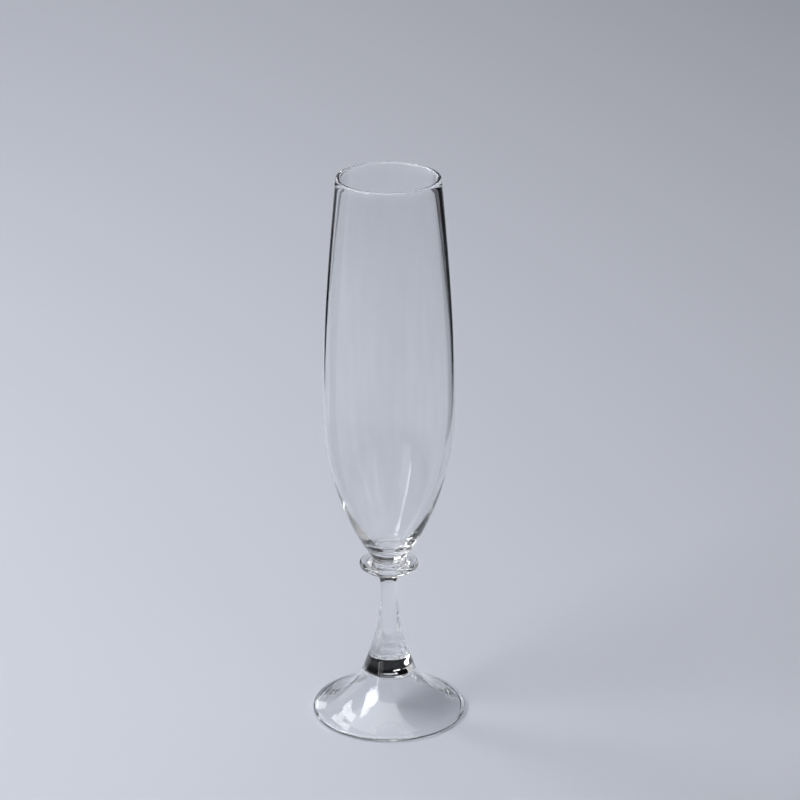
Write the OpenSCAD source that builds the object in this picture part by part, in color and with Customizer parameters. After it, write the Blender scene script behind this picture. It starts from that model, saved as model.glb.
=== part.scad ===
// Hand-blown champagne flute: a tulip bowl on a merese, a solid stem and a hollow trumpet foot.
// Millimetres. The origin is the centre of the ring that the foot rests on, and +Z points up.
// Each piece is turned about Z, and meets the next one face to face where the hot glass was fused.

/* [Bowl] */
// Height of the rim above the table
rim_h = 220; // [212:1:228]
// Outer radius of the rim
rim_r = 19.9; // [18.5:0.1:21.5]
// Thickness of the fire-polished lip
lip_t = 1.9; // [1.6:0.1:2.2]
// Height of the bowl's widest place
belly_h = 130; // [124:1:136]
// Outer radius of the bowl at its widest place
belly_r = 25.4; // [24:0.1:27]
// Thickness of the bowl's wall at its widest place
bowl_wall = 1; // [0.8:0.1:1.3]
// Height of the bottom of the drinking space
well_h = 68.5; // [68:0.5:70]
// Radius of the bottom of the drinking space
well_r = 7.2; // [6.8:0.1:7.8]
// Radius of the neck under the bowl, where it is fused to the merese
neck_r = 6.2; // [5.8:0.1:6.4]
// Height of the joint between the bowl and the merese
neck_h = 65; // [64.6:0.1:65.4]

/* [Merese] */
// Outer radius of the merese
merese_r = 11.5; // [10.5:0.1:12.5]
// Thickness of the merese at its rounded edge
merese_t = 3; // [2.4:0.1:3]
// Height of the joint between the merese and the stem
merese_h = 61.2; // [61:0.1:61.4]

/* [Stem] */
// Radius of the top of the stem, where it spreads out under the merese
stem_top_r = 8.6; // [8:0.1:8.8]
// Height of the stem's thinnest place
waist_h = 53; // [51:0.5:55]
// Radius of the stem at its thinnest place
waist_r = 3.35; // [3:0.05:3.8]
// Radius of the bottom of the stem, where it is fused to the foot
shoulder_r = 10.4; // [10.2:0.1:11]

/* [Foot] */
// Outer radius of the foot
foot_r = 30; // [29:0.5:32]
// Height of the joint between the foot and the stem
foot_h = 18; // [17.8:0.1:18.6]
// Thickness of the foot at its rounded edge
edge_t = 2; // [1.8:0.1:2.2]
// Height of the highest part of the hollow under the foot
ceiling_h = 17.3; // [17:0.1:17.4]
// How far the hollow's ceiling hangs down in the middle
ceiling_dip = 1.1; // [0.8:0.1:1.4]
// Radius of the ceiling of the hollow
ceiling_r = 9.9; // [9.6:0.1:10]
// Radius of the rounding between the ceiling and the foot's wall
ceiling_round = 1; // [0.8:0.1:1.2]
// Width of the ring that touches the table
rest_w = 0.5; // [0.4:0.1:0.8]

/* [Hidden] */
$fn = 96;

glass = [0.84, 0.92, 0.95, 0.4];

// Steps along a long curve, and along a small rounding
LONG = 14;
SHORT = 6;

// Each curve below is shaped by pulls: how far it runs on along its end's own direction.

// The tulip: the bottom of its outline, and the pulls above and below its widest place
bulb = [neck_r + 1.35, neck_h + 2.2];
neck_pull = 0.9;
bulb_pull_down = [0.1, 1.1];
bulb_pull_up = [8.2, 12.4];
belly_pull_down = 29;
belly_pull_up = 16;
// The drinking space: the rounding of its bottom corner, and its pulls
well_round = [0.9, 1.45];
well_corner_h = 3.1;
well_pull = 4.5;
corner_pull = [7.2, 9];
inner_pull_down = 32;
// How the upper wall has drawn in by the time it is this far above the widest place
tulip_pull = [-0.9, 40];

// The stem's cone and the foot's outline share one slope where they are fused
slope = [0.39, -0.92];
cone_pull = 21.5;
waist_pull = 2.5;
flare_pull = 3;
spread_pull = [4.3, 1.3];
trumpet_pull = 6.3;
skirt_pull = [-8.7, 2.2];
hem_pull = [-7, 2.6];
hollow_pull = [1.6, -4];
dip_pull = 3.2;

// A cubic curve from a to d that sets out towards b and arrives from c, without its first point
function curve(a, b, c, d, steps) = [
    for (i = [1 : steps])
        let (t = i / steps, s = 1 - t)
            s * s * s * a + 3 * s * s * t * b + 3 * s * t * t * c + t * t * t * d
];

// Points on a circle between two angles, both ends included
function arc(centre, radius, from, to, steps) = [
    for (i = [0 : steps])
        let (angle = from + (to - from) * i / steps)
            centre + radius * [cos(angle), sin(angle)]
];

// Turns an outline of [radius, height] points into a solid
module turned(outline) {
    rotate_extrude() polygon(outline);
}

// The thick-bottomed tulip that holds the wine, open at the rim
module bowl() {
    neck = [neck_r, neck_h];
    belly = [belly_r, belly_h];
    inner_belly = belly - [bowl_wall, 0];
    well = [0, well_h];
    corner = [well_r, well_h + well_corner_h];
    lip_r = lip_t / 2;
    lip = [rim_r - lip_r, rim_h - lip_r];
    outside = concat(
        [[0, neck_h], neck],
        curve(neck, neck + [0, neck_pull], bulb - bulb_pull_down, bulb, SHORT),
        curve(bulb, bulb + bulb_pull_up, belly - [0, belly_pull_down], belly, LONG),
        curve(belly, belly + [0, belly_pull_up], belly + tulip_pull, lip + [lip_r, 0], LONG)
    );
    inside = concat(
        arc(lip, lip_r, 12, 168, 2 * SHORT),
        curve(lip - [lip_r, 0], inner_belly + tulip_pull, inner_belly + [0, belly_pull_up],
            inner_belly, LONG),
        curve(inner_belly, inner_belly - [0, inner_pull_down], corner + corner_pull, corner, LONG),
        curve(corner, corner - well_round, well + [well_pull, 0], well, SHORT)
    );
    color(glass) turned(concat(outside, inside));
}

// The round-edged button of glass between the bowl and the stem
module merese() {
    edge_r = merese_t / 2;
    top_h = merese_h + merese_t;
    fillet_r = neck_h - top_h;
    color(glass) turned(concat(
        [[0, merese_h]],
        arc([merese_r - edge_r, merese_h + edge_r], edge_r, -90, 90, 2 * SHORT),
        arc([neck_r + fillet_r, neck_h], fillet_r, -90, -180, SHORT),
        [[0, neck_h]]
    ));
}

// The solid stem: a spreading top under the merese, a waist, and a long cone that swells to the foot
module stem() {
    shoulder = [shoulder_r, foot_h];
    waist = [waist_r, waist_h];
    top = [stem_top_r, merese_h];
    color(glass) turned(concat(
        [[0, foot_h], shoulder],
        curve(shoulder, shoulder - cone_pull * slope, waist - [0, waist_pull], waist, LONG),
        curve(waist, waist + [0, flare_pull], top - spread_pull, top, LONG),
        [[0, merese_h]]
    ));
}

// The hollow trumpet-shaped foot, which rests on a narrow ring under its edge
module foot() {
    shoulder = [shoulder_r, foot_h];
    edge_r = edge_t / 2;
    edge = [foot_r - edge_r, edge_r];
    corner = [ceiling_r - ceiling_round, ceiling_h - ceiling_round];
    ceiling = [0, ceiling_h - ceiling_dip];
    ring = [edge[0] - rest_w, 0];
    hem = ring + [-0.85, 0.4];
    outside = concat(
        [[0, foot_h], shoulder],
        curve(shoulder, shoulder + trumpet_pull * slope, edge + [0, edge_r] + skirt_pull,
            edge + [0, edge_r], LONG),
        arc(edge, edge_r, 75, -90, SHORT)
    );
    hollow = concat(
        [ring, hem],
        curve(hem, hem + hem_pull, corner + [ceiling_round, 0] + hollow_pull,
            corner + [ceiling_round, 0], LONG),
        arc(corner, ceiling_round, 15, 90, SHORT),
        curve(corner + [0, ceiling_round], corner + [-dip_pull, ceiling_round],
            ceiling + [dip_pull, 0], ceiling, SHORT)
    );
    color(glass) turned(concat(outside, hollow));
}

bowl();
merese();
stem();
foot();
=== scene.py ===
import math

import bpy
import numpy as np
from mathutils import Euler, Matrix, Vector


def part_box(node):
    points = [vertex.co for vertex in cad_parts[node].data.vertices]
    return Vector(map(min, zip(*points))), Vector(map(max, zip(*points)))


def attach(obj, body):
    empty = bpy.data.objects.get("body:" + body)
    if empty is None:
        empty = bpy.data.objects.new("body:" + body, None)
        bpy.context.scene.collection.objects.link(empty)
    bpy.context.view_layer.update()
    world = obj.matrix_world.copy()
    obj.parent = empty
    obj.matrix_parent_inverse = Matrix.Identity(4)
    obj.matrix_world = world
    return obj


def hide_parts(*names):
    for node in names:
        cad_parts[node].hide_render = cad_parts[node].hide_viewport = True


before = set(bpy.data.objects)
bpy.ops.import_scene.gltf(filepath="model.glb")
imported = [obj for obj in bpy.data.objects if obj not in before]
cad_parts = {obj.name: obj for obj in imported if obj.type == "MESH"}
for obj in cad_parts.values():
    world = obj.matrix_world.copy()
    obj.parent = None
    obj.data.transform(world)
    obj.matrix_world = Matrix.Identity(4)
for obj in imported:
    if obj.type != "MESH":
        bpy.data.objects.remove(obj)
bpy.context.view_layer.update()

# ---------------------------------------------------------------- sizes, in millimetres

MM = 0.001

# From the CAD model's boxes
RIM_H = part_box("bowl")[1][2] / MM
BELLY_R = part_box("bowl")[1][0] / MM
NECK_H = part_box("bowl")[0][2] / MM
MERESE_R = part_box("merese")[1][0] / MM
MERESE_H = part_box("merese")[0][2] / MM
SHOULDER_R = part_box("stem")[1][0] / MM
FOOT_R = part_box("foot")[1][0] / MM
FOOT_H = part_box("foot")[1][2] / MM

# What the boxes don't show
RIM_R = 19.9
LIP_T = 1.9
BELLY_H = 130.0
BOWL_WALL = 1.0
WELL_R = 7.2
WELL_H = 68.5
WELL_CORNER_H = 3.1
NECK_R = 6.2
MERESE_T = 3.0
STEM_TOP_R = 8.6
WAIST_R = 3.35
WAIST_H = 53.0
EDGE_T = 2.0
REST_W = 0.5
CEILING_R = 9.9
CEILING_H = 17.3
CEILING_DIP = 1.1
CEILING_ROUND = 1.0

# The direction in which the stem's cone and the foot's outline run down through their fused joint
CONE_SLOPE = np.array([0.39, -0.92])

# Small steps (r, z): from the neck to the bottom of the tulip, and from the resting ring to its hem
BULB_STEP = [1.35, 2.2]
HEM_STEP = [-0.85, 0.4]

# Pulls (r, z): how far each curve runs on along its end's own direction
NECK_PULL = [0, 0.9]
BULB_PULL_DOWN = [0.1, 1.1]
BULB_PULL_UP = [8.2, 12.4]
BELLY_PULL_DOWN = [0, 29]
BELLY_PULL_UP = [0, 16]
TULIP_PULL = [-0.9, 40]
INNER_PULL_DOWN = [0, 32]
CORNER_PULL_UP = [7.2, 9.0]
CORNER_PULL_DOWN = [0.9, 1.45]
WELL_PULL = [4.5, 0]
WAIST_PULL_DOWN = [0, 2.5]
WAIST_PULL_UP = [0, 3.0]
SPREAD_PULL = [4.3, 1.3]
DIP_PULL = [3.2, 0]
HOLLOW_PULL = [1.6, -4]
HEM_PULL_UP = [-7, 2.6]
HEM_PULL_DOWN = [0.4, -0.15]
RING_PULL = [0.4, 0]
SKIRT_PULL = [-8.7, 2.2]

# Pulls along the cone's slope, for the stem and for the foot
CONE_PULL = 21.5
TRUMPET_PULL = 6.3

TURNS = 256  # steps round each piece
GLASS_IOR = 1.5


# ---------------------------------------------------------------- outlines


def curve(a, b, c, d, steps):
    """Cubic Bezier from a to d, which sets out towards b and arrives from c, without its first point:
    s^3 a + 3 s^2 t b + 3 s t^2 c + t^3 d, with s = 1 - t and t running from 1/steps to 1."""
    t = np.arange(1, steps + 1)[:, None] / steps
    s = 1 - t
    a, b, c, d = (np.asarray(p, float) for p in (a, b, c, d))
    return s**3 * a + 3 * s**2 * t * b + 3 * s * t**2 * c + t**3 * d


def arc(centre, radius, start, end, steps):
    """Points centre + radius (cos angle, sin angle) with the angle going from start to end degrees."""
    angle = np.radians(np.linspace(start, end, steps + 1))
    return np.asarray(centre) + radius * np.stack([np.cos(angle), np.sin(angle)], 1)


def bowl_outline():
    """(r, z) from the neck up the outside, round the lip, and down the inside to the well: cubic
    curves that are upright at the widest place, joined by a round lip and a rounded well."""
    neck = np.array([NECK_R, NECK_H])
    bulb = neck + BULB_STEP
    belly = np.array([BELLY_R, BELLY_H])
    inner = belly - [BOWL_WALL, 0]
    lip_r = LIP_T / 2
    lip = np.array([RIM_R - lip_r, RIM_H - lip_r])
    well = np.array([0, WELL_H])
    corner = well + [WELL_R, WELL_CORNER_H]
    return np.concatenate([
        [neck],
        curve(neck, neck + NECK_PULL, bulb - BULB_PULL_DOWN, bulb, 12),
        curve(bulb, bulb + BULB_PULL_UP, belly - BELLY_PULL_DOWN, belly, 90),
        curve(belly, belly + BELLY_PULL_UP, belly + TULIP_PULL, lip + [lip_r, 0], 60),
        arc(lip, lip_r, 12, 168, 17),
        curve(lip - [lip_r, 0], inner + TULIP_PULL, inner + BELLY_PULL_UP, inner, 60),
        curve(inner, inner - INNER_PULL_DOWN, corner + CORNER_PULL_UP, corner, 80),
        curve(corner, corner - CORNER_PULL_DOWN, well + WELL_PULL, well, 24),
    ])


def merese_outline():
    """(r, z) from the joint with the stem: a half circle for the edge, then a quarter circle that
    sweeps up to the bowl's neck."""
    edge_r = MERESE_T / 2
    fillet_r = NECK_H - MERESE_H - MERESE_T
    return np.concatenate([
        [[STEM_TOP_R, MERESE_H]],
        arc([MERESE_R - edge_r, MERESE_H + edge_r], edge_r, -90, 90, 24),
        arc([NECK_R + fillet_r, NECK_H], fillet_r, -90, -180, 10),
    ])


def stem_outline():
    """(r, z) from the foot: a long cubic cone up to the waist, then a short one that spreads out
    nearly flat under the merese."""
    shoulder = np.array([SHOULDER_R, FOOT_H])
    waist = np.array([WAIST_R, WAIST_H])
    top = np.array([STEM_TOP_R, MERESE_H])
    return np.concatenate([
        [shoulder],
        curve(shoulder, shoulder - CONE_PULL * CONE_SLOPE, waist - WAIST_PULL_DOWN, waist, 80),
        curve(waist, waist + WAIST_PULL_UP, top - SPREAD_PULL, top, 30),
    ])


def foot_outline():
    """(r, z) from the middle of the hollow's ceiling, which hangs down there, over its rounded corner
    and down its flaring wall, across the resting ring, round the edge, and up the outside."""
    shoulder = np.array([SHOULDER_R, FOOT_H])
    edge_r = EDGE_T / 2
    edge = np.array([FOOT_R - edge_r, edge_r])
    top = edge + [0, edge_r]
    ring = np.array([edge[0] - REST_W, 0])
    hem = ring + HEM_STEP
    corner = np.array([CEILING_R - CEILING_ROUND, CEILING_H - CEILING_ROUND])
    brow = corner + [0, CEILING_ROUND]
    wall = corner + [CEILING_ROUND, 0]
    ceiling = np.array([0, CEILING_H - CEILING_DIP])
    return np.concatenate([
        [ceiling],
        curve(ceiling, ceiling + DIP_PULL, brow - DIP_PULL, brow, 30),
        arc(corner, CEILING_ROUND, 90, 0, 12),
        curve(wall, wall + HOLLOW_PULL, hem + HEM_PULL_UP, hem, 70),
        curve(hem, hem + HEM_PULL_DOWN, ring - RING_PULL, ring, 6),
        arc(edge, edge_r, -90, 75, 18),
        curve(top, top + SKIRT_PULL, shoulder + TRUMPET_PULL * CONE_SLOPE, shoulder, 70),
    ])


# ---------------------------------------------------------------- meshes


def turned(name, outline, fused):
    """A closed solid of revolution: each outline point (r, z) goes round the Z axis as
    (r cos a, r sin a, z), and a fan to the axis closes each end of the outline. The outline runs with
    the glass on its left, which turns the faces outwards. fused says whether the fan at its first end
    and the one at its last end are fused joints."""
    rings = outline[outline[:, 0] > 1e-6]
    angle = 2 * np.pi * np.arange(TURNS) / TURNS
    points = np.empty((len(rings), TURNS, 3))
    points[..., 0] = rings[:, :1] * np.cos(angle)
    points[..., 1] = rings[:, :1] * np.sin(angle)
    points[..., 2] = rings[:, 1:]
    poles = [[0, 0, outline[0, 1]], [0, 0, outline[-1, 1]]]
    verts = np.concatenate([points.reshape(-1, 3), poles]) * MM
    this = np.arange(TURNS)
    following = (this + 1) % TURNS
    start = np.arange(len(rings) - 1)[:, None] * TURNS
    quads = np.stack(
        [start + this, start + following, start + TURNS + following, start + TURNS + this], -1
    ).reshape(-1, 4)
    last = (len(rings) - 1) * TURNS
    first_fan = np.stack([np.full(TURNS, len(verts) - 2), following, this], -1)
    last_fan = np.stack([np.full(TURNS, len(verts) - 1), last + this, last + following], -1)
    mesh = bpy.data.meshes.new(name)
    mesh.from_pydata(verts.tolist(), [], quads.tolist() + first_fan.tolist() + last_fan.tolist())
    joint = np.zeros(len(mesh.polygons), bool)
    joint[len(quads):len(quads) + TURNS] = fused[0]
    joint[len(quads) + TURNS:] = fused[1]
    mesh.polygons.foreach_set("material_index", joint.astype(np.int32))
    mesh.polygons.foreach_set("use_smooth", ~joint)
    mesh.update()
    piece = bpy.data.objects.new(name, mesh)
    bpy.context.scene.collection.objects.link(piece)
    return piece


# ---------------------------------------------------------------- materials


def new_material(name):
    """An empty node material, its tree and its output."""
    material = bpy.data.materials.new(name)
    material.use_nodes = True
    tree = material.node_tree
    tree.nodes.clear()
    output = tree.nodes.new("ShaderNodeOutputMaterial")
    return material, tree, output


def noise(tree, scale, stretch, detail):
    """Fractal noise of the piece's own coordinates, its cells stretched that many times along Z."""
    place = tree.nodes.new("ShaderNodeTexCoord")
    mapping = tree.nodes.new("ShaderNodeMapping")
    mapping.inputs["Scale"].default_value = (1, 1, 1 / stretch)
    texture = tree.nodes.new("ShaderNodeTexNoise")
    texture.inputs["Scale"].default_value = scale
    texture.inputs["Detail"].default_value = detail
    texture.inputs["Roughness"].default_value = 0.45
    tree.links.new(place.outputs["Object"], mapping.inputs["Vector"])
    tree.links.new(mapping.outputs["Vector"], texture.inputs["Vector"])
    return texture.outputs["Fac"]


def glass_material(name, wave, stretch, depth):
    """Clear blown glass. Its surface wavers by depth over about one wave, both in metres, stretched
    along Z the way the glass was drawn, and a finer noise varies its faint tint and its fire polish."""
    material, tree, output = new_material(name)
    shader = tree.nodes.new("ShaderNodeBsdfPrincipled")
    bump = tree.nodes.new("ShaderNodeBump")
    bump.inputs["Strength"].default_value = 1.0
    bump.inputs["Distance"].default_value = depth
    tree.links.new(noise(tree, 1 / wave, stretch, 2), bump.inputs["Height"])
    tree.links.new(bump.outputs["Normal"], shader.inputs["Normal"])
    fine = noise(tree, 3 / wave, stretch, 4)
    tint = tree.nodes.new("ShaderNodeValToRGB")
    darker, clearer = tint.color_ramp.elements
    darker.position = 0.3
    darker.color = (0.955, 0.966, 0.97, 1)
    clearer.position = 0.7
    clearer.color = (0.998, 0.999, 1, 1)
    tree.links.new(fine, tint.inputs["Fac"])
    tree.links.new(tint.outputs["Color"], shader.inputs["Base Color"])
    polish = tree.nodes.new("ShaderNodeMapRange")
    polish.inputs["From Min"].default_value = 0.45
    polish.inputs["From Max"].default_value = 0.8
    polish.inputs["To Max"].default_value = 0.03
    tree.links.new(fine, polish.inputs["Value"])
    tree.links.new(polish.outputs["Result"], shader.inputs["Roughness"])
    shader.inputs["IOR"].default_value = GLASS_IOR
    shader.inputs["Transmission Weight"].default_value = 1.0
    tree.links.new(shader.outputs["BSDF"], output.inputs["Surface"])
    return material


def fused_material():
    """The faces where two pieces are fused, which light crosses as if they weren't there."""
    material, tree, output = new_material("fused_joint")
    shader = tree.nodes.new("ShaderNodeBsdfTransparent")
    tree.links.new(shader.outputs["BSDF"], output.inputs["Surface"])
    return material


def plaster_material():
    """Pale matt plaster, for the floor."""
    material, tree, output = new_material("plaster")
    shader = tree.nodes.new("ShaderNodeBsdfPrincipled")
    shader.inputs["Base Color"].default_value = (0.6, 0.624, 0.705, 1)
    shader.inputs["Roughness"].default_value = 0.9
    tree.links.new(shader.outputs["BSDF"], output.inputs["Surface"])
    return material


def painted_shade_material(name):
    """Nearly black, for a sheet of painted shade that stands in for the unlit room."""
    material, tree, output = new_material(name)
    shader = tree.nodes.new("ShaderNodeBsdfDiffuse")
    # Painted shade: near black, seen only in the glass's reflections and refractions
    shader.inputs["Color"].default_value = (0.01, 0.01, 0.011, 1)
    tree.links.new(shader.outputs["BSDF"], output.inputs["Surface"])
    return material


# ---------------------------------------------------------------- pieces

FUSED = fused_material()

# Node, outline, whether its first and last ends are fused, and its glass's wave, stretch and depth
for node, outline, fused, waver in (
    ("bowl", bowl_outline(), (True, False), (0.01, 9, 3e-5)),
    ("merese", merese_outline(), (True, True), (0.005, 1, 2e-5)),
    ("stem", stem_outline(), (True, True), (0.005, 5, 2e-5)),
    ("foot", foot_outline(), (False, True), (0.003, 1, 4e-5)),
):
    piece = turned("blown_" + node, outline, fused)
    piece.data.materials.append(glass_material(node + "_glass", *waver))
    piece.data.materials.append(FUSED)
    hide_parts(node)
    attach(piece, "root")


# ---------------------------------------------------------------- studio, in metres


def staged(name, corners, material):
    """A flat four-cornered piece of the studio."""
    mesh = bpy.data.meshes.new(name)
    mesh.from_pydata(corners, [], [(0, 1, 2, 3)])
    mesh.materials.append(material)
    sheet = bpy.data.objects.new(name, mesh)
    bpy.context.scene.collection.objects.link(sheet)
    return sheet


def floor(half, gap):
    """A square floor, that gap below the foot."""
    corners = [(-half, -half, -gap), (half, -half, -gap), (half, half, -gap), (-half, half, -gap)]
    staged("floor", corners, plaster_material())


def painted_shade_card(name, start, end, height):
    """An upright dark card on the floor from start to end, which only reflections and refractions see:
    painted shade, standing in for the unlit room beyond, that gives the glass its dark edges.
    """
    corners = [(*start, 0), (*end, 0), (*end, height), (*start, height)]
    card = staged(name, corners, painted_shade_material(name))
    card.visible_camera = False
    card.visible_diffuse = False
    card.visible_shadow = False


def area_light(name, width, height, radiance):
    """An area light of that size, whose energy gives the radiance asked for."""
    data = bpy.data.lights.new(name, "AREA")
    data.shape = "RECTANGLE"
    data.size, data.size_y = width, height
    data.energy = radiance * math.pi * width * height
    light = bpy.data.objects.new(name, data)
    bpy.context.scene.collection.objects.link(light)
    return light


def sky_place(azimuth, elevation, distance):
    """The point at that azimuth (degrees from +Y towards -X), elevation and distance from the glass."""
    a, e = math.radians(azimuth), math.radians(elevation)
    return Vector((-math.sin(a) * math.cos(e), math.cos(a) * math.cos(e), math.sin(e))) * distance


def softbox(name, azimuths, elevations, distance, radiance):
    """An area light that faces the glass and fills that range of azimuth and elevation."""
    azimuth, elevation = sum(azimuths) / 2, sum(elevations) / 2
    half_turn = math.radians(azimuths[1] - azimuths[0]) / 2
    half_rise = math.radians(elevations[1] - elevations[0]) / 2
    width = 2 * distance * math.cos(math.radians(elevation)) * math.tan(half_turn)
    height = 2 * distance * math.tan(half_rise)
    light = area_light(name, width, height, radiance)
    light.location = sky_place(azimuth, elevation, distance)
    light.rotation_mode = "QUATERNION"
    light.rotation_quaternion = (-light.location).to_track_quat("-Z", "Y")


def overhead(name, place, side, radiance):
    """A square area light that faces straight down."""
    light = area_light(name, side, side, radiance)
    light.location = place
    return light


floor(half=4.0, gap=1e-4)

# Azimuths and elevations in degrees, distance from the glass, radiance
softbox("softbox_back_left", (50, 66), (33, 58), 1.2, 6)
softbox("softbox_left", (95, 133), (38, 57), 1.2, 7)
softbox("strip_left", (130, 133), (11, 38), 1.2, 7)
softbox("softbox_front_left", (134, 152), (4, 24), 1.6, 0.8)
softbox("softbox_front", (194, 226), (24, 50), 1.6, 0.4)
softbox("softbox_low", (34, 75), (2, 24), 1.6, 0.6)
softbox("softbox_back", (11, 27), (20, 29), 1.6, 3)

# Place, side, radiance; the second brightens the floor behind the glass without showing in it
overhead("softbox_above", (-0.4, 0, 1.5), 1.6, 1.84)
far_floor_light = overhead("far_floor_light", (-0.2, 1.7, 0.9), 1.0, 0.9)
far_floor_light.visible_glossy = False
far_floor_light.visible_transmission = False

# Ends of the card on the floor, height; each card is painted shade that only the glass shows
painted_shade_card("shade_card_right", (0.21, 0.12), (0.15, 0.54), 0.22)
painted_shade_card("shade_card_left", (-0.22, 0.28), (-0.17, 0.55), 0.14)

scene = bpy.context.scene
scene.world = bpy.data.worlds.new("room")
scene.world.use_nodes = True
background = scene.world.node_tree.nodes["Background"]
background.inputs["Color"].default_value = (0.75, 0.8, 0.9, 1)
background.inputs["Strength"].default_value = 0.012

# ---------------------------------------------------------------- camera

CAMERA_PLACE = (0, -1.1628, 0.5964)
LOOK_DOWN = 21.817  # degrees below level
LOOK_RIGHT = 0.2114  # degrees from +Y towards +X
FILM_W = 36  # millimetres
FOCAL_LENGTH = 147.8835  # millimetres
VIEW_DEPTH = 50  # metres

camera_data = bpy.data.cameras.new("camera")
camera_data.sensor_width = FILM_W
camera_data.lens = FOCAL_LENGTH
camera_data.clip_end = VIEW_DEPTH
camera = bpy.data.objects.new("camera", camera_data)
camera.location = CAMERA_PLACE
camera.rotation_euler = Euler((math.radians(90 - LOOK_DOWN), 0, -math.radians(LOOK_RIGHT)))
scene.collection.objects.link(camera)
scene.camera = camera
scene.view_settings.view_transform = "Standard"

# Light stays sharp through the glass, and is followed through its many bounces inside the solid stem
# and straight through the fused joints
GLASS_BOUNCES = 96
JOINT_CROSSINGS = 64
scene.cycles.blur_glossy = 0
scene.cycles.max_bounces = GLASS_BOUNCES
scene.cycles.glossy_bounces = GLASS_BOUNCES
scene.cycles.transmission_bounces = GLASS_BOUNCES
scene.cycles.transparent_max_bounces = JOINT_CROSSINGS
